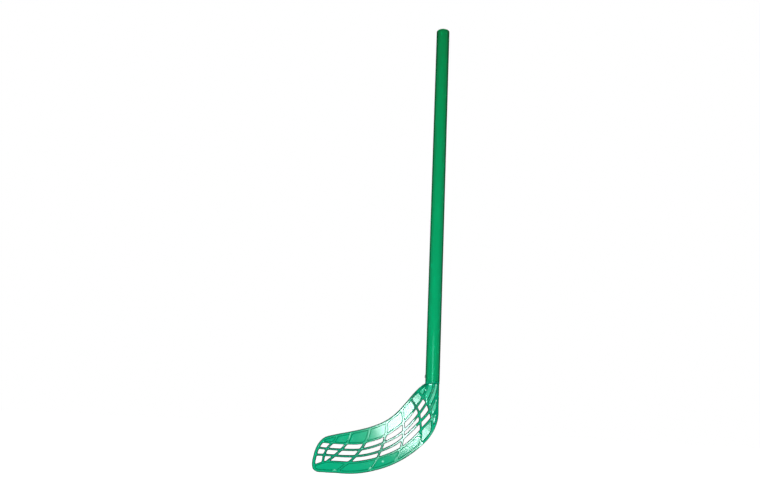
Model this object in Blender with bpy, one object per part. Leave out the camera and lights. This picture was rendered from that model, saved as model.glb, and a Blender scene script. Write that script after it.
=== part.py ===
"""Floorball stick: hollow round shaft, ribbed flat blade, end cap and one blade screw.

Metres, +Z up. Every piece is drawn from the shaft's axis (x = 0, y = 0) and the shaft's
lower end (z = 0), then moved so that the blade's lower edge stands on z = 0 and the
origin lies midway between the toe and the shaft's outer side.
The toe points to -X and the two faces of the blade look to -Y and +Y.
"""

import itertools
import math

import bmesh
import bpy
from mathutils import Vector
from mathutils.geometry import interpolate_bezier, intersect_line_line_2d

MM = 0.001

# Gaps between pieces that touch
SEAT_GAP = 0.3 * MM
FIT_GAP = 0.3 * MM

# Shaft
SHAFT_LENGTH = 729 * MM
SHAFT_DIAMETER = 27 * MM
SHAFT_WALL = 2.5 * MM
SHAFT_END_CHAMFER = 0.4 * MM

# End cap
CAP_FLANGE = 4 * MM
CAP_EDGE_RADIUS = 1.2 * MM
CAP_SPIGOT_LENGTH = 16 * MM
CAP_SPIGOT_WALL = 2 * MM
CAP_LEAD_IN = 1 * MM

# Blade hosel: the collar under the shaft and the peg inside it
COLLAR_HEIGHT = 3.5 * MM
PEG_ROOT_LENGTH = 22 * MM
PEG_LENGTH = 58 * MM
PEG_LEAD_IN = 1.5 * MM
PEG_WEB = 3.5 * MM

# Blade; the neck's reach is measured square to a line turned by NECK_TURN degrees
BLADE_THICKNESS = 8.4 * MM
SKIN_THICKNESS = 2 * MM
RIM_WIDTH = 5.4 * MM
TOE_RIM_WIDTH = 6.3 * MM
RIM_DRAFT = 0.5 * MM
RIM_EDGE_RADIUS = 1 * MM
RIB_EDGE = 0.4 * MM
WALL_DRAFT = 0.9 * MM
CORNER_RADIUS = 1.6 * MM
NECK_REACH = 52 * MM
NECK_TURN = 21
NECK_SKIN_THICKNESS = 12 * MM
NECK_STEP = 0.4 * MM
NECK_SHOULDER = 0.3 * MM

# Blade screw, through the shaft's toe side into the peg
SCREW_HEIGHT = 9.2 * MM
SCREW_DIAMETER = 3.5 * MM
SCREW_LENGTH = 12 * MM
SCREW_POINT = 2.5 * MM
SCREW_HEAD_DIAMETER = 5.6 * MM
SCREW_HEAD_HEIGHT = 1 * MM
SCREW_HEAD_EDGE = 0.4 * MM

# Steps of round and curved shapes
ROUND_STEPS = 48
SCREW_STEPS = 20
CURVE_STEP = 7 * MM

SHAFT_RADIUS = SHAFT_DIAMETER / 2
BORE_RADIUS = SHAFT_RADIUS - SHAFT_WALL
PEG_RADIUS = BORE_RADIUS - FIT_GAP
SCREW_HOLE_RADIUS = SCREW_DIAMETER / 2 + FIT_GAP
NECK_RADIUS = SHAFT_RADIUS - NECK_STEP
COLLAR_TOP = -SEAT_GAP
COLLAR_BOTTOM = COLLAR_TOP - COLLAR_HEIGHT

# Outline of the blade in millimetres (x, z), in three strokes that share their corners:
# the top edge from the neck to the toe, the toe, and the lower edge back to the heel
TOP_EDGE = [(-18.1, -6.9), (-30.7, -18.9), (-48.9, -41.4), (-66.5, -61.4), (-84.1, -75.3),
            (-111.1, -87.6), (-147.9, -97.9), (-181.8, -106)]
TOE_EDGE = [(-194.9, -110.1), (-204.4, -118.5), (-210.8, -130.2), (-214.6, -145.4),
            (-216.1, -158.7), (-213.8, -167.8), (-206.3, -172.4)]
LOWER_EDGE = [(-196.8, -172.8), (-172.8, -173), (-144.8, -173.1), (-129.8, -171.7),
              (-109.5, -167.7), (-88.8, -161.7), (-61.8, -150.2), (-36.8, -134.6),
              (-17.3, -118.3), (-2.5, -102.5), (7.5, -85.1), (12.8, -66.4)]
HEEL_TOP = -45

# Ribs along the blade in millimetres, from beyond the toe to beyond the collar
LONG_RIBS = {
    "rib_1": [(-219.9, -117.7), (-183.5, -119.9), (-155.8, -119.9), (-128.2, -118.1),
              (-110, -112.8), (-92, -106.1), (-65.4, -89), (-42.9, -68), (-29.4, -49.2),
              (-19.5, -34.4), (-13.3, -19.8), (-9.7, -7.8), (-8.9, 2.2)],
    "rib_2": [(-223.9, -128.6), (-192.1, -130.8), (-155.2, -131.2), (-133.1, -130.2),
              (-109.4, -124.6), (-84.1, -114.2), (-60.9, -101.4), (-31.8, -72),
              (-16.1, -50.2), (-6.7, -34.3), (-0.5, -19.3), (2.7, -5.8), (3.4, 2.2)],
    "rib_3": [(-225.9, -142.8), (-191.4, -142.1), (-154.4, -142.6), (-127, -140.4),
              (-94.3, -131.2), (-58.8, -112.4), (-38.2, -93), (-18.6, -72.1),
              (-5.3, -56), (1.2, -41.2), (6.4, -29.1), (9.6, -17.8), (11.9, 2.2)],
    "rib_4": [(-221.8, -166.2), (-208.8, -160.3), (-199.8, -156.8), (-191.8, -154.5),
              (-169.8, -153.4), (-144.6, -153.3), (-126.4, -150.7), (-88.4, -140.2),
              (-54.3, -123.7), (-31.5, -104.4), (-12.7, -82.7), (-2.9, -71.4),
              (3.7, -61.5), (9.3, -50.9), (14, -37.8)],
}

# Ribs across the blade in millimetres, from above the top edge to below the lower edge
CROSS_RIBS = {
    "cross_1": [(-167.9, -97.1), (-175.7, -115), (-187.9, -127.5), (-194.4, -141.5),
                (-196.7, -160)],
    "cross_2": [(-144.2, -91.9), (-151.8, -115.7), (-161.1, -128.3), (-172.6, -140),
                (-191.5, -156.1)],
    "cross_3": [(-109, -77.4), (-118.2, -110.8), (-126.4, -127.3), (-135.4, -139.2),
                (-144.6, -149.9), (-156, -158.3), (-175.8, -176.1)],
    "cross_4": [(-82.4, -65.9), (-82.9, -98.8), (-88.6, -121.3), (-98.1, -145.8),
                (-115.8, -176)],
    "cross_5": [(-56.8, -41.9), (-52, -71.9), (-51.4, -107.9), (-58.2, -135.4),
                (-68.8, -161.9)],
    "cross_6": [(-45.9, -23.9), (-33.3, -42), (-24.8, -54.4), (-21, -70.4), (-17.9, -97.8),
                (-20.3, -127.8)],
    "cross_7": [(-37.9, -7.9), (-28.6, -17.9), (-18.7, -28), (-10.3, -36.3), (-5.2, -47.9),
                (-0.9, -59.5), (1.6, -71.2), (2.1, -82.8), (-0.3, -103.8)],
}

# Width of each rib at its first and at its last point
RIB_WIDTHS = {
    "rib_1": (3.6 * MM, 4.8 * MM),
    "rib_2": (4 * MM, 5 * MM),
    "rib_3": (4.1 * MM, 5.6 * MM),
    "rib_4": (3.8 * MM, 4.8 * MM),
    "cross_1": (4.2 * MM, 5 * MM),
    "cross_2": (5 * MM, 5 * MM),
    "cross_3": (6 * MM, 4.4 * MM),
    "cross_4": (5.6 * MM, 3.4 * MM),
    "cross_5": (5.2 * MM, 3.8 * MM),
    "cross_6": (4.6 * MM, 4.2 * MM),
    "cross_7": (5.4 * MM, 4.8 * MM),
}

GREEN = (0.0, 0.38, 0.15)
BLADE_GREEN = (0.0, 0.42, 0.18)
STEEL = (0.35, 0.36, 0.36)


def clear_scene():
    for item in list(bpy.data.objects):
        bpy.data.objects.remove(item)


def make_material(name, color, roughness, metallic):
    material = bpy.data.materials.new(name)
    material.use_nodes = True
    shader = material.node_tree.nodes["Principled BSDF"]
    shader.inputs["Base Color"].default_value = (*color, 1.0)
    shader.inputs["Roughness"].default_value = roughness
    shader.inputs["Metallic"].default_value = metallic
    material.diffuse_color = (*color, 1.0)
    return material


def add_object(name, bm, parent, material=None):
    """Turn a bmesh into a named object whose faces point out."""
    bmesh.ops.recalc_face_normals(bm, faces=bm.faces)
    mesh = bpy.data.meshes.new(name)
    bm.to_mesh(mesh)
    bm.free()
    mesh.shade_smooth()
    mesh.set_sharp_from_angle(angle=math.radians(30))
    item = bpy.data.objects.new(name, mesh)
    bpy.context.collection.objects.link(item)
    item.parent = parent
    if material:
        mesh.materials.append(material)
    return item


def add_cutter(name, bm, parent):
    cutter = add_object(name, bm, parent)
    cutter.hide_render = True
    cutter.display_type = "WIRE"
    return cutter


def combine(item, operation, tool):
    change = item.modifiers.new(operation.lower() + "_" + tool.name, "BOOLEAN")
    change.operation = operation
    change.solver = "EXACT"
    change.object = tool


def turned(profile, steps, axis="Z", start=0.0):
    """Lathe a closed profile of (radius, height) pairs whose ends may lie on the axis."""
    bm = bmesh.new()
    points = [bm.verts.new((radius, 0, height)) for radius, height in profile]
    edges = [bm.edges.new((a, b)) for a, b in zip(points, points[1:] + points[:1])
             if a.co.x > 0 or b.co.x > 0]
    bmesh.ops.spin(bm, geom=points + edges, axis=(0, 0, 1), cent=(0, 0, 0),
                   angle=2 * math.pi, steps=steps, use_merge=True)
    bmesh.ops.remove_doubles(bm, verts=bm.verts, dist=0.001 * MM)
    if axis == "X":
        for vert in bm.verts:
            vert.co = Vector((start + vert.co.z, vert.co.y, vert.co.x))
    return bm


def box(low, high):
    bm = bmesh.new()
    bmesh.ops.create_cube(bm, size=1)
    for vert in bm.verts:
        vert.co = Vector([a + (b - a) * (c + 0.5) for a, b, c in zip(low, high, vert.co)])
    return bm


def arc(centre, radius, start, end, steps):
    """Points of a round edge, as (radius, height) pairs; angles in degrees."""
    turn = [math.radians(start + (end - start) * i / steps) for i in range(steps + 1)]
    return [(centre[0] + radius * math.cos(a), centre[1] + radius * math.sin(a)) for a in turn]


def smooth_curve(points):
    """Points about CURVE_STEP apart on a smooth curve through the given ones."""
    gaps = [(b - a).length for a, b in zip(points, points[1:])]
    slopes = [(b - a) / gap for a, b, gap in zip(points, points[1:], gaps)]
    tangents = [slopes[0]]
    for before, after, m, n in zip(slopes, slopes[1:], gaps, gaps[1:]):
        tangents.append((before * n + after * m) / (m + n))
    tangents.append(slopes[-1])
    samples = []
    for i, gap in enumerate(gaps):
        count = max(2, round(gap / CURVE_STEP))
        near = points[i] + tangents[i] * gap / 3
        far = points[i + 1] - tangents[i + 1] * gap / 3
        samples += interpolate_bezier(points[i], near, far, points[i + 1], count + 1)[:-1]
    samples.append(points[-1])
    return samples


def drawn(points):
    return [Vector((x * MM, z * MM)) for x, z in points]


def left_of(direction):
    return Vector((-direction.y, direction.x)).normalized()


def beside(curve, widths, side):
    """The edge of a rib: its curve moved by half its width to the left (1) or right (-1)."""
    last = len(curve) - 1
    moved = []
    for i, point in enumerate(curve):
        direction = curve[min(i + 1, last)] - curve[max(i - 1, 0)]
        width = widths[0] + (widths[1] - widths[0]) * i / last
        moved.append(point + left_of(direction) * side * width / 2)
    return moved


def crossings(a, b):
    """Where two curves cross: the place along a, the place along b and the point."""
    found = []
    for i, (p, q) in enumerate(zip(a, a[1:])):
        for j, (r, s) in enumerate(zip(b, b[1:])):
            point = intersect_line_line_2d(p, q, r, s)
            if point:
                along_a = i + (point - p).length / (q - p).length
                along_b = j + (point - r).length / (s - r).length
                found.append((along_a, along_b, point))
    return found


def stretch(curve, start, end):
    """The curve's own points between two places along it, in that order."""
    low, high = sorted((start, end))
    picked = [p for i, p in enumerate(curve) if low < i < high]
    return picked if start < end else picked[::-1]


def cell_outline(sides):
    """The closed outline between curves that cross in turn, with rounded corners."""
    pairs = list(zip(sides, sides[1:] + sides[:1]))
    options = [crossings(a, b) for a, b in pairs]

    def around(corners):
        points = [corner[2] for corner in corners]
        return sum((a - b).length for a, b in zip(points, points[1:] + points[:1]))

    corners = min(itertools.product(*options), key=around)
    outline = []
    for i, side in enumerate(sides):
        start, end = corners[i - 1], corners[i]
        run = [p for p in stretch(side, start[1], end[0])
               if min((p - start[2]).length, (p - end[2]).length) > 1.5 * CORNER_RADIUS]
        row = [start[2], *run, end[2]]
        trim_start = min(CORNER_RADIUS, 0.45 * (row[1] - row[0]).length)
        trim_end = min(CORNER_RADIUS, 0.45 * (row[-2] - row[-1]).length)
        first = row[0] + (row[1] - row[0]).normalized() * trim_start
        last = row[-1] + (row[-2] - row[-1]).normalized() * trim_end
        outline += [first, *run, last, end[2]]
    corner_points = [corner[2] for corner in corners]
    count = len(outline)
    for i, point in enumerate(outline):
        if any(point is corner for corner in corner_points):
            before, after = outline[i - 1], outline[(i + 1) % count]
            outline[i] = point / 2 + (before + after) / 4
    area = sum(a.cross(b) for a, b in zip(outline, outline[1:] + outline[:1]))
    return outline if area > 0 else outline[::-1]


def grown(outline, amount):
    """A counter-clockwise outline moved outwards by an amount, or inwards if negative."""
    moved = []
    befores, afters = outline[-1:] + outline[:-1], outline[1:] + outline[:1]
    for before, point, after in zip(befores, outline, afters):
        first, second = left_of(point - before), left_of(after - point)
        middle = (first + second).normalized()
        moved.append(point - middle * amount / max(0.5, middle.dot(first)))
    return moved


def neck_share(x, z):
    """How far the flat blade has risen to the round neck: 0 beyond its reach, 1 at the collar."""
    turn = math.radians(NECK_TURN)
    beyond = max(0.0, -x) * math.cos(turn) + (COLLAR_BOTTOM - z) * math.sin(turn)
    return min(1.0, max(0.0, 1 - beyond / NECK_REACH))


def half_height(x, z):
    """Half the blade's thickness over its rim and ribs, an oval that is round at the collar."""
    flat = BLADE_THICKNESS / 2
    side = NECK_RADIUS if x > 0 else NECK_RADIUS + max(0.0, COLLAR_BOTTOM - z)
    rounded = math.sqrt(max(NECK_RADIUS ** 2 * (1 - (x / side) ** 2), flat ** 2))
    return flat + (rounded - flat) * neck_share(x, z)


def half_skin(x, z):
    """Half the thickness of the skin between the ribs."""
    share = neck_share(x, z) ** 2
    return (SKIN_THICKNESS + (NECK_SKIN_THICKNESS - SKIN_THICKNESS) * share) / 2


def blade_outline():
    """The blade's edge, counter-clockwise from the neck over the toe to the heel."""
    inside_collar = COLLAR_TOP - NECK_SHOULDER
    start = Vector((-NECK_RADIUS, inside_collar))
    corner = Vector((-NECK_RADIUS, COLLAR_BOTTOM))
    heel = [Vector((NECK_RADIUS, z)) for z in (HEEL_TOP * MM, inside_collar)]
    return [start, *smooth_curve([corner, *drawn(TOP_EDGE + TOE_EDGE + LOWER_EDGE), *heel])]


def blade_cells(outline):
    """The outlines of the open windows and of the pockets closed by a skin."""
    curves = {name: smooth_curve(drawn(points))
              for name, points in (LONG_RIBS | CROSS_RIBS).items()}
    reach = 2 * SHAFT_RADIUS
    pocket_top = COLLAR_BOTTOM - NECK_SHOULDER - WALL_DRAFT - RIB_EDGE
    collar = [Vector((-reach, pocket_top)), Vector((reach, pocket_top))]
    rims = {"rim": RIM_WIDTH, "toe_rim": TOE_RIM_WIDTH}

    def edge(name, side):
        if name in rims:
            return beside(outline, (2 * rims[name], 2 * rims[name]), 1)
        if name == "collar":
            return collar
        return beside(curves[name], RIB_WIDTHS[name], side)

    crosses = list(CROSS_RIBS)
    rows = [("rim", "rib_1", ["rim", *crosses, "rim"], False),
            ("rib_1", "rib_2", ["toe_rim", *crosses, "collar"], True),
            ("rib_2", "rib_3", ["toe_rim", *crosses, "collar"], True),
            ("rib_3", "rib_4", ["toe_rim", *crosses, "rim"], True),
            ("rib_4", "rim", ["rim", *crosses[2:], "rim"], False)]
    windows, pockets = [], []
    for upper, lower, columns, has_windows in rows:
        for left, right in zip(columns, columns[1:]):
            named = [(left, 1), (lower, 1), (right, -1), (upper, -1)]
            named = [item for i, item in enumerate(named) if item[0] != named[i - 1][0]]
            shape = cell_outline([edge(*item) for item in named])
            is_window = has_windows and right != columns[-1]
            (windows if is_window else pockets).append(shape)
    return windows, pockets


def add_ring(bm, outline, height, side, drop=0.0):
    """A ring of points over an outline, at a height above or below the blade's middle."""
    return [bm.verts.new((p.x, side * (height(p.x, p.y) - drop), p.y)) for p in outline]


def join_rings(bm, first, second):
    count = len(first)
    for i in range(count):
        j = (i + 1) % count
        bm.faces.new((first[i], first[j], second[j], second[i]))


def fill_rings(bm, rings):
    """Fill the flat region between an outer ring and the rings inside it."""
    edges = []
    for ring in rings:
        for a, b in zip(ring, ring[1:] + ring[:1]):
            edges.append(bm.edges.get((a, b)) or bm.edges.new((a, b)))
    bmesh.ops.triangle_fill(bm, use_beauty=True, edges=edges, normal=(0, 1, 0))


def blade_lattice():
    """The blade's plate with its rounded rim, its open windows and its closed pockets."""
    bm = bmesh.new()
    outline = blade_outline()
    windows, pockets = blade_cells(outline)
    tops = {-1: [], 1: []}

    def middle(x, z):
        return 0.0

    rings = []
    for side in (-1, 1):
        column = []
        for angle in (0, 45, 90):
            turn = math.radians(angle)
            inset = RIM_DRAFT + RIM_EDGE_RADIUS * (1 - math.cos(turn))
            drop = RIM_EDGE_RADIUS * (1 - math.sin(turn))
            column.append(add_ring(bm, grown(outline, -inset), half_height, side, drop))
        tops[side].append(column[-1])
        rings.append(column)
    stack = [*rings[0][::-1], add_ring(bm, outline, middle, 1), *rings[1]]
    for first, second in zip(stack, stack[1:]):
        join_rings(bm, first, second)

    for shapes, base in ((windows, middle), (pockets, half_skin)):
        for shape in shapes:
            columns = []
            for side in (-1, 1):
                top = add_ring(bm, grown(shape, WALL_DRAFT + RIB_EDGE), half_height, side)
                edge = add_ring(bm, grown(shape, WALL_DRAFT), half_height, side, RIB_EDGE)
                tops[side].append(top)
                columns.append([top, edge])
            if base is middle:
                waist = add_ring(bm, shape, middle, 1)
                stack = [*columns[0], waist, *columns[1][::-1]]
                for first, second in zip(stack, stack[1:]):
                    join_rings(bm, first, second)
            else:
                for side, (top, edge) in zip((-1, 1), columns):
                    floor = add_ring(bm, shape, half_skin, side)
                    join_rings(bm, top, edge)
                    join_rings(bm, edge, floor)
                    fill_rings(bm, [floor])
    for side in (-1, 1):
        fill_rings(bm, tops[side])
    return bm


def blade_hosel():
    """The collar under the shaft and the peg that fits inside it."""
    lead = PEG_RADIUS - PEG_LEAD_IN
    return turned([(0, COLLAR_BOTTOM), (SHAFT_RADIUS, COLLAR_BOTTOM), (SHAFT_RADIUS, COLLAR_TOP),
                   (PEG_RADIUS, COLLAR_TOP), (PEG_RADIUS, PEG_LENGTH - PEG_LEAD_IN),
                   (lead, PEG_LENGTH), (0, PEG_LENGTH)], ROUND_STEPS)


def screw_bore(radius, start, end):
    """A round cutter along the blade screw's axis."""
    return turned([(0, 0), (radius, 0), (radius, end - start), (0, end - start)],
                  SCREW_STEPS, "X", start)


def make_blade(parent, material):
    blade = add_object("blade", blade_lattice(), parent, material)
    hosel = add_cutter("hosel_shape", blade_hosel(), parent)
    combine(blade, "UNION", hosel)
    half_web = PEG_WEB / 2
    for x_side, z_side in itertools.product((-1, 1), repeat=2):
        corner = (x_side * half_web, z_side * half_web)
        outer = (x_side * SHAFT_RADIUS, z_side * SHAFT_RADIUS)
        low = (min(corner[0], outer[0]), min(corner[1], outer[1]), PEG_ROOT_LENGTH)
        high = (max(corner[0], outer[0]), max(corner[1], outer[1]), PEG_LENGTH + PEG_LEAD_IN)
        combine(blade, "DIFFERENCE", add_cutter("core_shape", box(low, high), parent))
    depth = -SHAFT_RADIUS + SCREW_LENGTH + FIT_GAP
    bore = add_cutter("pilot_shape", screw_bore(SCREW_HOLE_RADIUS, -SHAFT_RADIUS, depth), parent)
    bore.location.z = SCREW_HEIGHT
    combine(blade, "DIFFERENCE", bore)
    return blade


def make_shaft(parent, material):
    c = SHAFT_END_CHAMFER
    tube = turned([(BORE_RADIUS, c), (BORE_RADIUS + c, 0), (SHAFT_RADIUS - c, 0),
                   (SHAFT_RADIUS, c), (SHAFT_RADIUS, SHAFT_LENGTH - c),
                   (SHAFT_RADIUS - c, SHAFT_LENGTH), (BORE_RADIUS + c, SHAFT_LENGTH),
                   (BORE_RADIUS, SHAFT_LENGTH - c)], ROUND_STEPS)
    shaft = add_object("shaft", tube, parent, material)
    bore = screw_bore(SCREW_HOLE_RADIUS, -SHAFT_RADIUS - SHAFT_WALL, 0)
    cutter = add_cutter("screw_hole_shape", bore, parent)
    cutter.location.z = SCREW_HEIGHT
    combine(shaft, "DIFFERENCE", cutter)
    return shaft


def make_end_cap(parent, material):
    bottom = SHAFT_LENGTH + SEAT_GAP
    top = bottom + CAP_FLANGE
    tip = bottom - CAP_SPIGOT_LENGTH
    inner = PEG_RADIUS - CAP_SPIGOT_WALL
    edge = arc((SHAFT_RADIUS - CAP_EDGE_RADIUS, top - CAP_EDGE_RADIUS), CAP_EDGE_RADIUS, 0, 90, 4)
    profile = [(0, bottom), (inner, bottom), (inner, tip), (PEG_RADIUS - CAP_LEAD_IN, tip),
               (PEG_RADIUS, tip + CAP_LEAD_IN), (PEG_RADIUS, bottom), (SHAFT_RADIUS, bottom),
               *edge, (0, top)]
    return add_object("end_cap", turned(profile, ROUND_STEPS), parent, material)


def make_screw(parent, material):
    """A pan-head screw along +X whose head rests on the shaft's toe side."""
    shank = SCREW_DIAMETER / 2
    head = SCREW_HEAD_DIAMETER / 2
    height, edge = SCREW_HEAD_HEIGHT, SCREW_HEAD_EDGE
    profile = [(0, -height), (head - edge, -height), (head, -height + edge), (head, 0),
               (shank, 0), (shank, SCREW_LENGTH - SCREW_POINT), (0, SCREW_LENGTH)]
    start = -SHAFT_RADIUS - SEAT_GAP
    screw = add_object("blade_screw", turned(profile, SCREW_STEPS, "X", start), parent, material)
    screw.location.z = SCREW_HEIGHT
    return screw


def build():
    clear_scene()
    outline = blade_outline()
    toe = min(point.x for point in outline)
    sole = min(point.y for point in outline)
    frame = bpy.data.objects.new("stick", None)
    bpy.context.collection.objects.link(frame)
    frame.location = (-(toe + SHAFT_RADIUS) / 2, 0, -sole)

    green = make_material("green_plastic", GREEN, 0.38, 0)
    blade_green = make_material("blade_plastic", BLADE_GREEN, 0.3, 0)
    steel = make_material("screw_steel", STEEL, 0.35, 1)
    make_shaft(frame, green)
    make_end_cap(frame, green)
    make_blade(frame, blade_green)
    make_screw(frame, steel)


build()
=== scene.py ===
import math

import bpy
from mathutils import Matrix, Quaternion, Vector


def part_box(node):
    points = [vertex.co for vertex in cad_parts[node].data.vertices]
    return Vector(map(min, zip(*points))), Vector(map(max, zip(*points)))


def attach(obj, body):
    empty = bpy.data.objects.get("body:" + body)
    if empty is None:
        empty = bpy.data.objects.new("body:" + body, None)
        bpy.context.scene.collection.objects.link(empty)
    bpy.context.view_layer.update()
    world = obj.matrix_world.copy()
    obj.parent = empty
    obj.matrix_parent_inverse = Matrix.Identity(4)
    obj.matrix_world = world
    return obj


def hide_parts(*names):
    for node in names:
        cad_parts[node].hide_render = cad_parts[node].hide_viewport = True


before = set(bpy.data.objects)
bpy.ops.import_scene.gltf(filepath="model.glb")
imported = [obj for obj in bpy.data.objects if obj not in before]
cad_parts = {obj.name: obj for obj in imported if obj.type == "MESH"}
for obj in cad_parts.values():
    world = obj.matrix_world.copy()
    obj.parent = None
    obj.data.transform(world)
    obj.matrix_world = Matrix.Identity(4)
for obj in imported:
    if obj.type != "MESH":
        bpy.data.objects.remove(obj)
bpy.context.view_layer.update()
print("frame loaded:", sorted(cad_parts))


# The stick's axis and the foot of its shaft, from the CAD shaft
shaftLow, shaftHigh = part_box("shaft")
axisX = (shaftLow[0] + shaftHigh[0]) / 2
shaftFoot = shaftLow[2]
shaftTop = shaftHigh[2]
shaftRadius = (shaftHigh[0] - shaftLow[0]) / 2

# Limits that the pieces share
limits = {
    "sharp": 60,        # degrees between two faces, from which their edge is sharp
    "smooth": 35,       # degrees between two faces, up to which they are shaded as one
    "square": 0.9,      # share of its normal along an axis, for a face that looks that way
    "near": 1e-5,       # places closer than this are one
    "sideWeight": 80,   # how much the large faces decide the shading of their rounded edges
}


def onStick(x, y, z):
    return Vector((axisX + x, y, shaftFoot + z))


def activate(piece):
    bpy.ops.object.mode_set(mode="OBJECT")
    bpy.ops.object.select_all(action="DESELECT")
    piece.select_set(True)
    bpy.context.view_layer.objects.active = piece


# Selects the faces or edges that pass a test, stays in edit mode and tells how many there are
def choose(piece, kind, test):
    activate(piece)
    bpy.ops.object.mode_set(mode="EDIT")
    bpy.ops.mesh.select_mode(type=kind)
    bpy.ops.mesh.select_all(action="DESELECT")
    bpy.ops.object.mode_set(mode="OBJECT")
    parts = piece.data.polygons if kind == "FACE" else piece.data.edges
    chosen = 0
    for part in parts:
        part.select = bool(test(part))
        chosen += part.select
    bpy.ops.object.mode_set(mode="EDIT")
    return chosen


# Selects the edges whose faces meet at more than an angle, and whose middle, direction and
# highest paint number pass a test
def chooseSharp(piece, degrees, test):
    bpy.ops.object.mode_set(mode="OBJECT")
    normals = {}
    for face in piece.data.polygons:
        for key in face.edge_keys:
            normals.setdefault(key, []).append((face.normal.copy(), face.material_index))
    least = math.radians(degrees)

    def sharp(edge):
        sides = normals[edge.key]
        start, end = [piece.data.vertices[i].co for i in edge.vertices]
        bent = len(sides) == 2 and sides[0][0].angle(sides[1][0]) > least
        way = (end - start).normalized()
        return bent and test((start + end) / 2, way, max(side[1] for side in sides))

    choose(piece, "EDGE", sharp)


def applyAll(piece):
    bpy.ops.object.mode_set(mode="OBJECT")
    bpy.context.view_layer.objects.active = piece
    for change in list(piece.modifiers):
        bpy.ops.object.modifier_apply(modifier=change.name)


# Cuts the shape of another object out of a piece, and removes that object
def cutOut(piece, cutter):
    cut = piece.modifiers.new("cut", "BOOLEAN")
    cut.operation = "DIFFERENCE"
    cut.solver = "EXACT"
    cut.object = cutter
    applyAll(piece)
    bpy.data.objects.remove(cutter)


def smooth(piece, degrees):
    activate(piece)
    bpy.ops.object.shade_smooth_by_angle(angle=math.radians(degrees))


# Keeps large faces evenly shaded up to their rounded edges
def evenSides(piece):
    weights = piece.modifiers.new("evenSides", "WEIGHTED_NORMAL")
    weights.keep_sharp = True
    weights.weight = limits["sideWeight"]
    applyAll(piece)


def done(piece, name, node, material=None):
    activate(piece)
    piece.name = name
    piece.data.name = name
    bpy.ops.object.transform_apply(location=True, rotation=True, scale=True)
    if material:
        piece.data.materials.clear()
        piece.data.materials.append(material)
    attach(piece, "root")
    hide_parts(node)
    print(name, "made:", len(piece.data.polygons), "faces")


# Camera, at the place that the photograph was taken from
cameraSetup = {
    "place": (0.00615, -1.339, 0.0992),
    "target": (-0.00965, 0.0, 0.4231),
    "lens": 33.158,
    "sensor": 36.0,
    "roll": 2.87,
}


def addCamera(setup):
    bpy.ops.object.camera_add(location=setup["place"])
    camera = bpy.context.object
    camera.name = "photoCamera"
    sight = Vector(setup["target"]) - Vector(setup["place"])
    roll = Quaternion((0, 0, 1), math.radians(setup["roll"]))
    camera.rotation_euler = (sight.to_track_quat("-Z", "Y") @ roll).to_euler()
    camera.data.lens = setup["lens"]
    camera.data.sensor_width = setup["sensor"]
    bpy.context.scene.camera = camera


addCamera(cameraSetup)
print("camera set")


# Studio: three soft lamps beside the lens, for the round highlight on the blade, for even light
# and for the streak on the shaft, a lamp behind for the back, and a pale floor and sky
studioSetup = {
    "lamps": {
        "keyLamp": {"kind": "AREA", "place": (0.0965, -1.36, 0.0984), "aim": (0.0, 0.0, 0.15),
                    "power": 25.0, "size": (0.2, 0.2), "gives": "sheen"},
        "evenLamp": {"kind": "AREA", "place": (-0.075, -1.2, 0.1), "aim": (0.0, 0.0, 0.15),
                     "power": 19.5, "size": (0.2, 0.2), "gives": "evenLight"},
        "streakLamp": {"kind": "AREA", "place": (-0.09, -1.33, 0.29), "aim": (0.0, 0.0, 0.15),
                       "power": 4.6, "size": (0.6, 0.28), "gives": "sheen"},
        "backLamp": {"kind": "SUN", "place": (0.0, 2.0, 0.5), "aim": (0.0, 0.0, 0.5),
                     "power": 3.4, "angle": 8.0, "gives": "both"},
    },
    "skyLevel": 0.1,
    "floorSize": 12.0,
    "floorDrop": 0.0005,
    "floorColour": (0.9, 0.9, 0.9, 1),
    "floorGlow": 0.93,
}


def addLamp(name, look):
    bpy.ops.object.light_add(type=look["kind"], location=look["place"])
    lamp = bpy.context.object
    lamp.name = name
    lamp.data.energy = look["power"]
    sight = Vector(look["aim"]) - Vector(look["place"])
    lamp.rotation_euler = sight.to_track_quat("-Z", "Y").to_euler()
    lamp.visible_diffuse = look["gives"] != "sheen"
    lamp.visible_glossy = look["gives"] != "evenLight"
    if look["kind"] == "AREA":
        lamp.data.shape = "ELLIPSE"
        lamp.data.size, lamp.data.size_y = look["size"]
    else:
        lamp.data.angle = math.radians(look["angle"])


def addMath(nodes, operation, kind="ShaderNodeMath"):
    step = nodes.new(kind)
    step.operation = operation
    return step


def addRange(nodes, source, target, kind="LINEAR"):
    spread = nodes.new("ShaderNodeMapRange")
    spread.interpolation_type = kind
    for name, value in zip(("From Min", "From Max", "To Min", "To Max"), source + target):
        spread.inputs[name].default_value = value
    return spread


# Puts out 1 where the camera looks, directly, by a shiny surface or through a clear one, and 0
# for the light that falls on the other surfaces
def seenDirectly(nodes, links):
    rays = nodes.new("ShaderNodeLightPath")
    first = addMath(nodes, "MAXIMUM")
    links.new(rays.outputs["Is Camera Ray"], first.inputs[0])
    links.new(rays.outputs["Is Glossy Ray"], first.inputs[1])
    second = addMath(nodes, "MAXIMUM")
    links.new(first.outputs[0], second.inputs[0])
    links.new(rays.outputs["Is Transmission Ray"], second.inputs[1])
    return second.outputs[0]


def addSky(setup):
    sky = bpy.data.worlds.new("paleSky")
    sky.use_nodes = True
    bpy.context.scene.world = sky
    nodes, links = sky.node_tree.nodes, sky.node_tree.links
    level = addRange(nodes, (0.0, 1.0), (setup["skyLevel"], 1.0))
    links.new(seenDirectly(nodes, links), level.inputs["Value"])
    nodes["Background"].inputs["Color"].default_value = (1, 1, 1, 1)
    links.new(level.outputs["Result"], nodes["Background"].inputs["Strength"])


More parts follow.
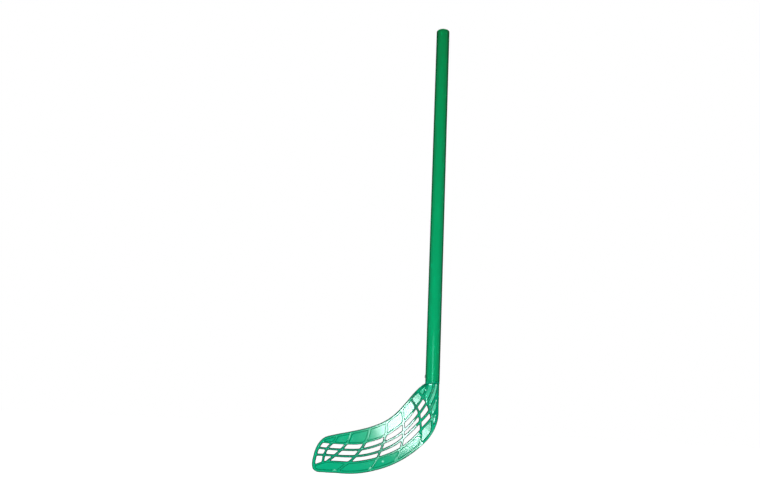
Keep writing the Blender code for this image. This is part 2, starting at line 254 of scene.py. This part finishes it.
def addFloor(setup):
    bpy.ops.mesh.primitive_plane_add(size=setup["floorSize"], location=(0, 0, -setup["floorDrop"]))
    floor = bpy.context.object
    floor.name = "paleFloor"
    material = bpy.data.materials.new("paleFloor")
    material.use_nodes = True
    nodes, links = material.node_tree.nodes, material.node_tree.links
    nodes.remove(nodes["Principled BSDF"])
    paint = nodes.new("ShaderNodeBsdfDiffuse")
    paint.inputs["Color"].default_value = setup["floorColour"]
    glow = nodes.new("ShaderNodeEmission")
    level = addMath(nodes, "MULTIPLY")
    level.inputs[1].default_value = setup["floorGlow"]
    links.new(seenDirectly(nodes, links), level.inputs[0])
    links.new(level.outputs[0], glow.inputs["Strength"])
    both = nodes.new("ShaderNodeAddShader")
    links.new(paint.outputs[0], both.inputs[0])
    links.new(glow.outputs[0], both.inputs[1])
    links.new(both.outputs[0], nodes["Material Output"].inputs["Surface"])
    floor.data.materials.append(material)


bpy.context.scene.view_settings.view_transform = "Standard"
for lampName, lampLook in studioSetup["lamps"].items():
    addLamp(lampName, lampLook)
addSky(studioSetup)
addFloor(studioSetup)
print("studio set")


# Shared effect: the slight cloudiness and the fine drawn or flow lines of moulded plastic, whose
# colour streaks become painted sheen stripes where a look's streak is strong
grainSetup = {
    "cloudScale": 28.0,
    "cloudDetail": 3.0,
    "cloudRange": (0.3, 0.7),
    "cloudShade": (0.975, 1.025),
    "lineDetail": 4.0,
    "lineMiddle": 0.5,
    "lineRoughness": 0.06,
}


def addNoise(nodes, scale, detail):
    noise = nodes.new("ShaderNodeTexNoise")
    noise.inputs["Scale"].default_value = scale
    noise.inputs["Detail"].default_value = detail
    return noise


def mouldedGrain(setup):
    group = bpy.data.node_groups.new("mouldedGrain", "ShaderNodeTree")
    for name, kind in (("Colour", "NodeSocketColor"), ("Stretch", "NodeSocketVector"),
                       ("Smoothness", "NodeSocketFloat"), ("Relief", "NodeSocketFloat"),
                       ("Streak", "NodeSocketFloat")):
        group.interface.new_socket(name=name, in_out="INPUT", socket_type=kind)
    for name, kind in (("Colour", "NodeSocketColor"), ("Roughness", "NodeSocketFloat"),
                       ("Height", "NodeSocketFloat")):
        group.interface.new_socket(name=name, in_out="OUTPUT", socket_type=kind)
    nodes, links = group.nodes, group.links
    given = nodes.new("NodeGroupInput")
    made = nodes.new("NodeGroupOutput")
    place = nodes.new("ShaderNodeTexCoord")
    stretched = addMath(nodes, "MULTIPLY", "ShaderNodeVectorMath")
    links.new(place.outputs["Object"], stretched.inputs[0])
    links.new(given.outputs["Stretch"], stretched.inputs[1])
    clouds = addNoise(nodes, setup["cloudScale"], setup["cloudDetail"])
    links.new(place.outputs["Object"], clouds.inputs["Vector"])
    lines = addNoise(nodes, 1.0, setup["lineDetail"])
    links.new(stretched.outputs[0], lines.inputs["Vector"])

    # Colour: the clouds' shade plus the lines' streaks
    shade = addRange(nodes, setup["cloudRange"], setup["cloudShade"])
    links.new(clouds.outputs["Fac"], shade.inputs["Value"])
    streak = addMath(nodes, "SUBTRACT")
    streak.inputs[1].default_value = setup["lineMiddle"]
    links.new(lines.outputs["Fac"], streak.inputs[0])
    streaked = addMath(nodes, "MULTIPLY_ADD")
    links.new(streak.outputs[0], streaked.inputs[0])
    links.new(given.outputs["Streak"], streaked.inputs[1])
    links.new(shade.outputs["Result"], streaked.inputs[2])
    tint = addMath(nodes, "SCALE", "ShaderNodeVectorMath")
    links.new(given.outputs["Colour"], tint.inputs[0])
    links.new(streaked.outputs[0], tint.inputs["Scale"])
    links.new(tint.outputs[0], made.inputs["Colour"])

    # Roughness and height follow the lines
    sheen = addMath(nodes, "MULTIPLY_ADD")
    sheen.inputs[1].default_value = setup["lineRoughness"]
    links.new(lines.outputs["Fac"], sheen.inputs[0])
    links.new(given.outputs["Smoothness"], sheen.inputs[2])
    links.new(sheen.outputs[0], made.inputs["Roughness"])
    relief = addMath(nodes, "MULTIPLY")
    links.new(lines.outputs["Fac"], relief.inputs[0])
    links.new(given.outputs["Relief"], relief.inputs[1])
    links.new(relief.outputs[0], made.inputs["Height"])
    return group


grainGroup = mouldedGrain(grainSetup)


def addGrain(nodes, look, smoothness):
    grain = nodes.new("ShaderNodeGroup")
    grain.node_tree = grainGroup
    grain.inputs["Smoothness"].default_value = smoothness
    for value in ("colour", "stretch", "relief", "streak"):
        if value in look:
            grain.inputs[value.capitalize()].default_value = look[value]
    return grain


# Plastic: shared values, then the three kinds of look that the greens start from
plasticSetup = {
    "mattRange": (0.15, 0.6),
    "bumpStrength": 0.12,
    "bumpDistance": 0.0002,
}
usualLook = {"stretch": (240.0, 240.0, 240.0), "roughness": 0.12, "level": 0.06, "relief": 0.3,
             "streak": 0.1, "edgeShade": 0.35, "edgeRange": (0.1, 0.55),
             "tint": (0.86, 0.98, 1.0, 1.0)}
tubeLook = {**usualLook, "edgeShade": 0.3, "edgeRange": (0.2, 0.7),
            "tint": (0.25, 1.0, 0.9, 1.0)}
pocketLook = {**usualLook, "stretch": (160.0, 160.0, 160.0), "edgeShade": 0.8}


# Green plastic that shines where it faces the viewer, and turns darker and matt towards its edges
def plastic(name, look, setup):
    material = bpy.data.materials.new(name)
    material.use_nodes = True
    nodes, links = material.node_tree.nodes, material.node_tree.links
    shader = nodes["Principled BSDF"]
    shader.inputs["Specular IOR Level"].default_value = look["level"]
    shader.inputs["Specular Tint"].default_value = look["tint"]
    grain = addGrain(nodes, look, look["roughness"] - grainSetup["lineRoughness"] / 2)
    if "topColour" in look:
        place = nodes.new("ShaderNodeTexCoord")
        height = nodes.new("ShaderNodeSeparateXYZ")
        links.new(place.outputs["Object"], height.inputs[0])
        share = addRange(nodes, look["blendHeights"], (0.0, 1.0))
        links.new(height.outputs["Z"], share.inputs["Value"])
        blend = nodes.new("ShaderNodeMix")
        blend.data_type = "RGBA"
        blend.inputs["A"].default_value = look["colour"]
        blend.inputs["B"].default_value = look["topColour"]
        links.new(share.outputs["Result"], blend.inputs["Factor"])
        links.new(blend.outputs["Result"], grain.inputs["Colour"])
    # Painted shade: the colour is darkened by edgeShade where the surface turns away from the
    # viewer
    edge = nodes.new("ShaderNodeLayerWeight")
    shade = addRange(nodes, look["edgeRange"], (1.0, look["edgeShade"]), "SMOOTHSTEP")
    links.new(edge.outputs["Facing"], shade.inputs["Value"])
    darker = addMath(nodes, "SCALE", "ShaderNodeVectorMath")
    links.new(grain.outputs["Colour"], darker.inputs[0])
    links.new(shade.outputs["Result"], darker.inputs["Scale"])
    links.new(darker.outputs[0], shader.inputs["Base Color"])
    matt = addRange(nodes, setup["mattRange"], (0.0, 1.0), "SMOOTHSTEP")
    links.new(grain.outputs["Roughness"], matt.inputs["To Min"])
    links.new(edge.outputs["Facing"], matt.inputs["Value"])
    links.new(matt.outputs["Result"], shader.inputs["Roughness"])
    bump = nodes.new("ShaderNodeBump")
    bump.inputs["Strength"].default_value = setup["bumpStrength"]
    bump.inputs["Distance"].default_value = setup["bumpDistance"]
    links.new(grain.outputs["Height"], bump.inputs["Height"])
    links.new(bump.outputs["Normal"], shader.inputs["Normal"])
    return material


plasticLooks = {
    "shaftGreen": {**tubeLook, "colour": (0.0, 0.236, 0.085, 1), "roughness": 0.1, "level": 0.15,
                   "stretch": (700.0, 700.0, 4.0), "relief": 0.15,
                   "topColour": (0.0, 0.23, 0.058, 1), "blendHeights": (0.35, 0.9)},
    "capGreen": {**tubeLook, "colour": (0.0, 0.225, 0.057, 1), "roughness": 0.16, "level": 0.1,
                 "stretch": (300.0, 300.0, 300.0), "relief": 0.4},
    "bladeGreen": {**usualLook, "colour": (0.0, 0.272, 0.131, 1)},
    # Painted light: a little lighter and with less painted edge shade, to offset the shade on
    # walls
    "softGreen": {**usualLook, "colour": (0.0, 0.28, 0.135, 1), "edgeShade": 0.85},
    # Painted shade: darker tops of the ribs between the open windows
    "shadedLatticeGreen": {**usualLook, "colour": (0.0, 0.2, 0.105, 1)},
    # Painted shade: dark green for the borders of the open windows
    "shadedBorderGreen": {**usualLook, "colour": (0.0, 0.15, 0.084, 1), "roughness": 0.3, "level": 0.05},
    # Painted shade: dark green for the rounded outer edges and the band beside them
    "shadedEdgeGreen": {**usualLook, "colour": (0.0, 0.13, 0.07, 1), "roughness": 0.3, "level": 0.05},
    # Painted shade: darker, matt flat tops of the neck
    "shadedNeckRibGreen": {**usualLook, "colour": (0.0, 0.225, 0.11, 1), "roughness": 0.34, "level": 0.04},
    "hazeGreen": {**usualLook, "colour": (0.0, 0.265, 0.135, 1), "roughness": 0.3, "level": 0.05},
    "skinGreen": {**pocketLook, "colour": (0.0, 0.285, 0.142, 1), "roughness": 0.105},
    "dullGreen": {**pocketLook, "colour": (0.0, 0.27, 0.132, 1), "roughness": 0.105,
                  "level": 0.025},
    "heelGreen": {**pocketLook, "colour": (0.0, 0.262, 0.138, 1), "roughness": 0.17,
                  "level": 0.08},
    "lowGreen": {**pocketLook, "colour": (0.0, 0.262, 0.134, 1), "roughness": 0.095,
                 "level": 0.05},
    # Pocket floors of the neck: lighter, and strongly streaked in colour as painted sheen stripes
    "neckSheenGreen": {**pocketLook, "colour": (0.0, 0.32, 0.17, 1), "roughness": 0.3, "level": 0.055,
                  "stretch": (300.0, 300.0, 40.0), "streak": 0.7},
    "glintGreen": {**pocketLook, "colour": (0.0, 0.29, 0.152, 1), "roughness": 0.34,
                   "level": 0.25},
    "webGreen": {**pocketLook, "colour": (0.0, 0.3, 0.16, 1), "roughness": 0.34, "level": 0.11},
    # Painted highlight: a much lighter green for the glints on the neck's ledges
    "paintedGlintGreen": {**pocketLook, "colour": (0.0, 0.46, 0.29, 1), "roughness": 0.3,
                    "level": 0.34},
}
plastics = {name: plastic(name, look, plasticSetup) for name, look in plasticLooks.items()}


# Zinc-plated steel with a faint grain
steelLook = {
    "colour": (0.1, 0.115, 0.11, 1),
    "stretch": (900.0, 900.0, 900.0),
    "roughness": 0.45,
}


def steel(name, look):
    material = bpy.data.materials.new(name)
    material.use_nodes = True
    nodes, links = material.node_tree.nodes, material.node_tree.links
    shader = nodes["Principled BSDF"]
    shader.inputs["Metallic"].default_value = 1.0
    grain = addGrain(nodes, look, look["roughness"])
    links.new(grain.outputs["Colour"], shader.inputs["Base Color"])
    links.new(grain.outputs["Roughness"], shader.inputs["Roughness"])
    return material


screwSteel = steel("screwSteel", steelLook)
print("materials made")


# Shaft: a drawn tube with eased ends and the hole for the blade screw
shaftSetup = {
    "segments": 96,
    "rings": 12,
    "wall": 0.0025,
    "endRadius": 0.0005,
    "endSteps": 3,
    "holeSegments": 40,
    "holeRadius": 0.00205,
    "holeHeight": 0.0092,
    "holeDepth": 1.5 * shaftRadius,
}


def makeShaft(setup):
    length = shaftTop - shaftFoot
    bpy.ops.mesh.primitive_cylinder_add(vertices=setup["segments"], radius=shaftRadius,
                                        depth=length, location=onStick(0, 0, length / 2))
    tube = bpy.context.object
    bpy.ops.object.transform_apply(location=True, rotation=True, scale=True)
    choose(tube, "FACE", lambda face: abs(face.normal.z) > limits["square"])
    bpy.ops.mesh.inset(thickness=setup["wall"])
    bpy.ops.mesh.bridge_edge_loops()
    bpy.ops.mesh.select_all(action="SELECT")
    bpy.ops.mesh.normals_make_consistent(inside=False)
    chooseSharp(tube, limits["sharp"], lambda middle, way, paint: True)
    bpy.ops.mesh.bevel(offset=setup["endRadius"], segments=setup["endSteps"], profile=0.5)

    # The long sides are cut into rings, for even shading
    def runsAlong(edge):
        start, end = [tube.data.vertices[i].co for i in edge.vertices]
        return abs(end.z - start.z) > length / 2

    choose(tube, "EDGE", runsAlong)
    bpy.ops.mesh.subdivide(number_cuts=setup["rings"])
    bpy.ops.object.mode_set(mode="OBJECT")
    depth = setup["holeDepth"]
    bpy.ops.mesh.primitive_cylinder_add(vertices=setup["holeSegments"], radius=setup["holeRadius"],
                                        depth=depth, rotation=(0, math.radians(90), 0),
                                        location=onStick(-depth / 2, 0, setup["holeHeight"]))
    cutOut(tube, bpy.context.object)
    smooth(tube, limits["smooth"])
    evenSides(tube)
    done(tube, "stickShaft", "shaft", plastics["shaftGreen"])


makeShaft(shaftSetup)


# End cap: a rounded flange with a hollow spigot inside the tube
capSetup = {
    "segments": 96,
    "gap": 0.0003,
    "flange": 0.004,
    "edgeRadius": 0.0012,
    "edgeSteps": 6,
    "spigotLength": 0.016,
    "spigotWall": 0.002,
    "spigotStep": 0.0028,
    "tipRadius": 0.0008,
    "tipSteps": 3,
}


def extrudeBy(x, y, z):
    bpy.ops.mesh.extrude_region_move(TRANSFORM_OT_translate={"value": (x, y, z)})


# Rounds the sharp edges of a piece at one height
def roundAt(piece, height, radius, steps):
    chooseSharp(piece, limits["sharp"],
                lambda middle, way, paint: abs(middle.z - height) < limits["near"])
    bpy.ops.mesh.bevel(offset=radius, segments=steps, profile=0.5)


def makeCap(setup):
    base = shaftTop + setup["gap"]
    flange = setup["flange"]
    bpy.ops.mesh.primitive_cylinder_add(vertices=setup["segments"], radius=shaftRadius,
                                        depth=flange, location=(axisX, 0, base + flange / 2))
    cap = bpy.context.object
    bpy.ops.object.transform_apply(location=True, rotation=True, scale=True)
    choose(cap, "FACE", lambda face: face.normal.z < -limits["square"])
    bpy.ops.mesh.inset(thickness=setup["spigotStep"])
    extrudeBy(0, 0, -setup["spigotLength"])
    bpy.ops.mesh.inset(thickness=setup["spigotWall"])
    extrudeBy(0, 0, setup["spigotLength"])
    roundAt(cap, base + flange, setup["edgeRadius"], setup["edgeSteps"])
    roundAt(cap, base - setup["spigotLength"], setup["tipRadius"], setup["tipSteps"])
    smooth(cap, limits["smooth"])
    done(cap, "stickCap", "end_cap", plastics["capGreen"])


makeCap(capSetup)


# Blade screw: a pan head with a cross recess, a shank and a point
screwSetup = {
    "segments": 48,
    "height": 0.0092,
    "gap": 0.0003,
    "headRadius": 0.0028,
    "headHeight": 0.001,
    "domeRadius": 0.00055,
    "domeSteps": 5,
    "shankRadius": 0.00175,
    "shankLength": 0.0095,
    "pointLength": 0.0025,
    "pointShare": 0.08,
    "slotWidth": 0.0007,
    "slotLength": 0.003,
    "slotDepth": 0.0006,
}


def makeScrew(setup):
    headHeight = setup["headHeight"]
    seat = onStick(-shaftRadius - setup["gap"], 0, setup["height"])
    outer = seat - Vector((headHeight, 0, 0))
    bpy.ops.mesh.primitive_cylinder_add(vertices=setup["segments"], radius=setup["headRadius"],
                                        depth=headHeight, location=(seat + outer) / 2,
                                        rotation=(0, math.radians(90), 0))
    screw = bpy.context.object
    bpy.ops.object.transform_apply(location=True, rotation=True, scale=True)
    choose(screw, "FACE", lambda face: face.normal.x > limits["square"])
    bpy.ops.mesh.inset(thickness=setup["headRadius"] - setup["shankRadius"])
    extrudeBy(setup["shankLength"], 0, 0)
    extrudeBy(setup["pointLength"], 0, 0)
    share = setup["pointShare"]
    bpy.ops.transform.resize(value=(1, share, share), center_override=seat)
    chooseSharp(screw, limits["sharp"],
                lambda middle, way, paint: abs(middle.x - outer.x) < limits["near"])
    bpy.ops.mesh.bevel(offset=setup["domeRadius"], segments=setup["domeSteps"], profile=0.5)
    bpy.ops.object.mode_set(mode="OBJECT")
    for turn in (0, 90):
        bpy.ops.mesh.primitive_cube_add(size=1, location=outer,
                                        rotation=(math.radians(turn), 0, 0))
        cutter = bpy.context.object
        cutter.scale = (2 * setup["slotDepth"], setup["slotWidth"], setup["slotLength"])
        cutOut(screw, cutter)
    smooth(screw, limits["smooth"])
    done(screw, "stickScrew", "blade_screw", screwSteel)


makeScrew(screwSetup)


# Blade: the CAD moulding with eased edges, finishes and painted light and shade by place, and
# the small raised marks of the moulding. A tilt is the share of a face's normal across the blade:
# 1 is flat
bladeSetup = {
    "merge": 1e-6,
    "patchAngle": 20.0,
    "patchTilt": 0.7,
    "wallTilt": 0.6,
    "roundTilt": 0.2,
    "bladeTilt": 0.995,
    "neckTilt": 0.8,
    "latticeTilt": 0.99,
    "topTilt": 0.999,
    "collarTop": 0.0005,
    "collarReach": 0.005,
    "neckReach": (0.028, 0.062),
    "heelReach": 0.012,
    "borderWidth": 0.00045,
    "lineWidth": 0.0005,
    "leastFloor": 4e-6,
    "floorSteps": (0.00115, 0.0023),
    "floorPaints": ("skinGreen", "heelGreen", "neckSheenGreen"),
    "oddFloors": (((-0.037, 0, -0.12), "lowGreen"), ((-0.083, 0, -0.147), "dullGreen")),
    "oddReach": 0.014,
    "sharp": 15.0,
    "skinHeight": 0.00115,
    "easeLean": 0.5,
    "ease": 0.00016,
    "easeSteps": 2,
    "smooth": 50.0,
}

# Finishes and painted light and shade: the flat tops' first, then the rounded faces', then the
# floors'
bladePaints = ("bladeGreen", "shadedLatticeGreen", "shadedNeckRibGreen", "hazeGreen", "softGreen", "shadedBorderGreen",
               "shadedEdgeGreen", "skinGreen", "dullGreen", "lowGreen", "heelGreen", "neckSheenGreen")
paintNumbers = {name: number for number, name in enumerate(bladePaints)}


def paint(face, name):
    face.material_index = paintNumbers[name]


def copyMerged(node, name, distance):
    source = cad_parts[node]
    mesh = source.data.copy()
    mesh.transform(source.matrix_world)
    piece = bpy.data.objects.new(name, mesh)
    bpy.context.scene.collection.objects.link(piece)
    activate(piece)
    bpy.ops.object.mode_set(mode="EDIT")
    bpy.ops.mesh.select_all(action="SELECT")
    bpy.ops.mesh.remove_doubles(threshold=distance)
    bpy.ops.mesh.customdata_custom_splitnormals_clear()
    bpy.ops.mesh.mark_sharp(clear=True)
    bpy.ops.object.mode_set(mode="OBJECT")
    return piece


def facesBeside(faces):
    beside = {}
    for face in faces:
        for key in face.edge_keys:
            beside.setdefault(key, []).append(face)
    return beside


# Groups faces that look across the blade into patches that only meet over nearly flat edges
def flatPatches(piece, setup):
    faces = [face for face in piece.data.polygons if abs(face.normal.y) > setup["patchTilt"]]
    least = math.cos(math.radians(setup["patchAngle"]))
    beside = facesBeside(faces)
    patches = []
    seen = set()
    for start in faces:
        if start.index in seen:
            continue
        seen.add(start.index)
        patch, queue = [], [start]
        while queue:
            face = queue.pop()
            patch.append(face)
            for key in face.edge_keys:
                for other in beside[key]:
                    if other.index not in seen and other.normal.dot(face.normal) > least:
                        seen.add(other.index)
                        queue.append(other)
        patches.append(patch)
    return patches


# Length of a patch's border that walls rise from, and the length that walls fall from
def patchBorder(piece, patch, beside, margin):
    inside = {face.index for face in patch}
    rising = falling = 0.0
    for face in patch:
        for key in face.edge_keys:
            start, end = [piece.data.vertices[i].co for i in key]
            for other in beside[key]:
                if other.index in inside:
                    continue
                if abs(other.center.y) > abs((start.y + end.y) / 2) + margin:
                    rising += (end - start).length
                else:
                    falling += (end - start).length
    return rising, falling


# Finds the patches that are floors of pockets and those that are eased borders
def sortPatches(piece, setup):
    beside = facesBeside(piece.data.polygons)
    floors, borders = [], []
    for patch in flatPatches(piece, setup):
        rising, falling = patchBorder(piece, patch, beside, setup["merge"])
        area = sum(face.area for face in patch)
        if rising > falling and area > setup["leastFloor"]:
            floors.append(patch)
        elif falling >= rising and area < setup["borderWidth"] * (rising + falling):
            borders.append(patch)
    return floors, borders


# Painted shade on all rounded edges and on the neck's flat tops, and the heel's flat tops
def paintByPlace(piece, setup):
    neckX, neckZ = setup["neckReach"]
    for face in piece.data.polygons:
        place = face.center
        if place.z > shaftFoot - setup["collarTop"]:
            continue
        inNeck = place.x > axisX - neckX and place.z > shaftFoot - neckZ
        inHeel = place.x > axisX - setup["heelReach"] and not inNeck
        onCollar = place.z > shaftFoot - setup["collarReach"]
        flat = setup["bladeTilt"] if place.x < axisX - neckX else setup["neckTilt"]
        tilt = abs(face.normal.y)
        # Rounded edges: painted shade, with less of it near the collar and right of the axis on
        # the neck
        if setup["roundTilt"] < tilt < flat:
            soft = inNeck and (place.x > axisX or onCollar)
            paint(face, "softGreen" if soft else "shadedEdgeGreen")
        # Flat tops of the neck: painted shade
        elif inNeck and tilt >= flat:
            paint(face, "shadedNeckRibGreen")
        elif inHeel and tilt >= flat:
            paint(face, "hazeGreen")


# Pocket walls and borders painted lighter, window borders and the ribs between windows in painted
# shade
def paintOpenings(piece, floors, borders, setup):
    floorCorners = {corner for patch in floors for face in patch for corner in face.vertices}
    pocketCorners = set()
    for face in piece.data.polygons:
        if abs(face.normal.y) < setup["wallTilt"] and not floorCorners.isdisjoint(face.vertices):
            paint(face, "softGreen")
            pocketCorners.update(face.vertices)
    windowCorners = set()
    for patch in borders:
        corners = {corner for face in patch for corner in face.vertices}
        closed = not pocketCorners.isdisjoint(corners)
        for face in patch:
            paint(face, "softGreen" if closed else "shadedBorderGreen")
        if not closed:
            windowCorners.update(corners)
    for face in piece.data.polygons:
        isTop = face.material_index == 0 and abs(face.normal.y) > setup["latticeTilt"]
        if isTop and windowCorners.issuperset(face.vertices):
            paint(face, "shadedLatticeGreen")


# Floors by their distance from the middle of the blade, apart from the odd ones
def paintFloors(floors, setup):
    for patch in floors:
        height = max(abs(face.center.y) for face in patch)
        middle = sum((face.center for face in patch), Vector()) / len(patch)
        name = setup["floorPaints"][sum(height > step for step in setup["floorSteps"])]
        for spot, oddName in setup["oddFloors"]:
            if (middle - onStick(*spot)).length < setup["oddReach"]:
                name = oddName
        for face in patch:
            paint(face, name)


# Cuts a narrow band along the borders of the flat tops, and gives it the painted shade of the
# rounded outer edge where it runs beside that
def paintEdgeShadeBand(piece, setup):
    lastTop = paintNumbers["hazeGreen"]

    def onTop(face):
        return abs(face.normal.y) > setup["topTilt"] and face.material_index <= lastTop

    tops = choose(piece, "FACE", onTop)
    bpy.ops.mesh.inset(thickness=setup["lineWidth"])
    bpy.ops.object.mode_set(mode="OBJECT")
    edgeKeys = set()
    for face in piece.data.polygons:
        if face.material_index == paintNumbers["shadedEdgeGreen"]:
            edgeKeys.update(face.edge_keys)
    lined = 0
    for face in piece.data.polygons:
        if onTop(face) and not face.select and not edgeKeys.isdisjoint(face.edge_keys):
            paint(face, "shadedEdgeGreen")
            lined += 1
    print("flat tops:", tops, "faces lined:", lined)


# Small raised marks of the moulding on the side in the photograph: the round gate mark, webs at
# the feet of the ribs along the lower rim, crest lines on ribs of the outer rows, and ledges and
# bright fillets in the pockets of the neck. Lengths are in millimetres, turns in degrees
padSetup = {
    "unit": 0.001,
    "ahead": -50,
    "sink": 0.3,
    "domeShares": (0.7, 0.5),
    "kinds": {
        "gate": {"look": "glintGreen", "corners": 24, "thick": 0.3, "rise": 0.06, "lean": (0, 0)},
        "web": {"look": "glintGreen", "corners": 3, "thick": 3.12, "rise": 0.04, "lean": (0, 0),
                "front": -1.0},
        "lowWeb": {"look": "webGreen", "corners": 3, "thick": 3.12, "rise": 0.04, "lean": (0, 0),
                   "front": -1.0},
        "crest": {"look": "glintGreen", "corners": 12, "thick": 0.05, "rise": 0.05, "lean": (0, 0),
                  "front": -4.2},
        # The ledges' much lighter green is a painted highlight
        "ledge": {"look": "paintedGlintGreen", "corners": 8, "thick": 0.5, "rise": 0.06,
                  "lean": (2.9, -1.95)},
    },
    # Kind, x from the shaft's axis, z from its foot, width, height and turn
    "marks": [
        ("gate", -86.6, -148.5, 4.2, 4.2, 0),
        ("web", -108.2, -162.6, 12.5, 8.0, 10),
        ("lowWeb", -61.4, -143.4, 11.5, 9.5, 12),
        ("web", -173.6, -167.8, 10.0, 4.0, 0),
        ("ledge", -4.2, -6.0, 6.6, 2.2, 0),
        ("ledge", 5.8, -5.8, 4.4, 2.2, 0),
        ("ledge", -12.6, -16.6, 1.8, 3.2, 20),
        ("ledge", -10.6, -33.4, 2.0, 2.6, 35),
        ("ledge", -10.4, -37.6, 2.0, 4.0, 0),
        ("ledge", -3.6, -43.8, 2.2, 3.4, 0),
        ("ledge", 8.0, -34.6, 3.0, 3.2, 0),
        ("ledge", 2.6, -56.4, 2.2, 5.6, 0),
        ("ledge", 7.6, -61.8, 2.8, 2.4, 0),
        ("ledge", 5.2, -71.0, 2.6, 10.0, -8),
        ("ledge", -24.6, -25.6, 1.7, 10.4, 42),
    ],
    "crestWidth": 1.6,
    "crests": (((-54.6, -128.2), (-60.4, -142.4)), ((-93.6, -139.6), (-105.8, -159.4)),
               ((-113.1, -92.7), (-115.7, -110.7)), ((-148.1, -100.4), (-151.6, -114.0))),
}


# A disc 1 mm across with a low dome, stretched to its size and sunk into the blade's surface
def makePad(blade, setup, kind, x, z, wide, high, turn):
    look = setup["kinds"][kind]
    unit = setup["unit"]
    spot = onStick(x * unit, setup["ahead"] * unit, z * unit)
    if "front" in look:
        front = look["front"] * unit
    else:
        front = blade.ray_cast(spot, Vector((0, 1, 0)))[1].y
    depth = (look["thick"] + setup["sink"]) * unit
    bpy.ops.mesh.primitive_cylinder_add(vertices=look["corners"], radius=unit / 2, depth=depth,
                                        location=(0, 0, 0), rotation=(math.radians(90), 0, 0))
    pad = bpy.context.object
    bpy.ops.object.transform_apply(location=False, rotation=True, scale=False)
    choose(pad, "FACE", lambda face: face.normal.y < -limits["square"])
    for share in setup["domeShares"]:
        bpy.ops.mesh.inset(thickness=0.0)
        bpy.ops.transform.resize(value=(share, 1, share), center_override=(0, 0, 0))
        bpy.ops.transform.translate(value=(0, -look["rise"] * unit / 2, 0))
    bpy.ops.object.mode_set(mode="OBJECT")
    leanX, leanZ = look["lean"]
    pad.scale = (wide, 1, high)
    pad.rotation_mode = "YXZ"
    pad.rotation_euler = [math.radians(angle) for angle in (leanX, -turn, leanZ)]
    pad.location = (spot.x, front + setup["sink"] * unit - depth / 2, spot.z)
    bpy.ops.object.transform_apply(location=True, rotation=True, scale=True)
    pad.data.materials.append(plastics[look["look"]])
    return pad


def addPads(blade, setup):
    marks = list(setup["marks"])
    for start, end in setup["crests"]:
        middle = (Vector(start) + Vector(end)) / 2
        way = Vector(start) - Vector(end)
        turn = math.degrees(math.atan2(-way.x, way.y))
        marks.append(("crest", middle.x, middle.y, setup["crestWidth"], way.length, turn))
    pads = [makePad(blade, setup, *mark) for mark in marks]
    activate(blade)
    for pad in pads:
        pad.select_set(True)
    bpy.ops.object.join()
    print("moulding marks:", len(pads))


def makeBlade(setup):
    blade = copyMerged("blade", "stickBlade", setup["merge"])
    blade.data.materials.clear()
    for name in bladePaints:
        blade.data.materials.append(plastics[name])
    floors, borders = sortPatches(blade, setup)
    paintByPlace(blade, setup)
    paintOpenings(blade, floors, borders, setup)
    paintFloors(floors, setup)
    print("pocket floors:", len(floors), "eased borders:", len(borders))
    paintEdgeShadeBand(blade, setup)

    # The edges to ease stand above the thin skins and don't run down a wall
    def standsOut(middle, way, paintNumber):
        above = abs(middle.y) > setup["skinHeight"] and abs(way.y) < setup["easeLean"]
        return above and paintNumber < paintNumbers["skinGreen"]

    chooseSharp(blade, setup["sharp"], standsOut)
    bpy.ops.mesh.bevel(offset=setup["ease"], segments=setup["easeSteps"], profile=0.5,
                       clamp_overlap=True)
    bpy.ops.object.mode_set(mode="OBJECT")
    addPads(blade, padSetup)
    smooth(blade, setup["smooth"])
    evenSides(blade)
    done(blade, "stickBlade", "blade")


makeBlade(bladeSetup)
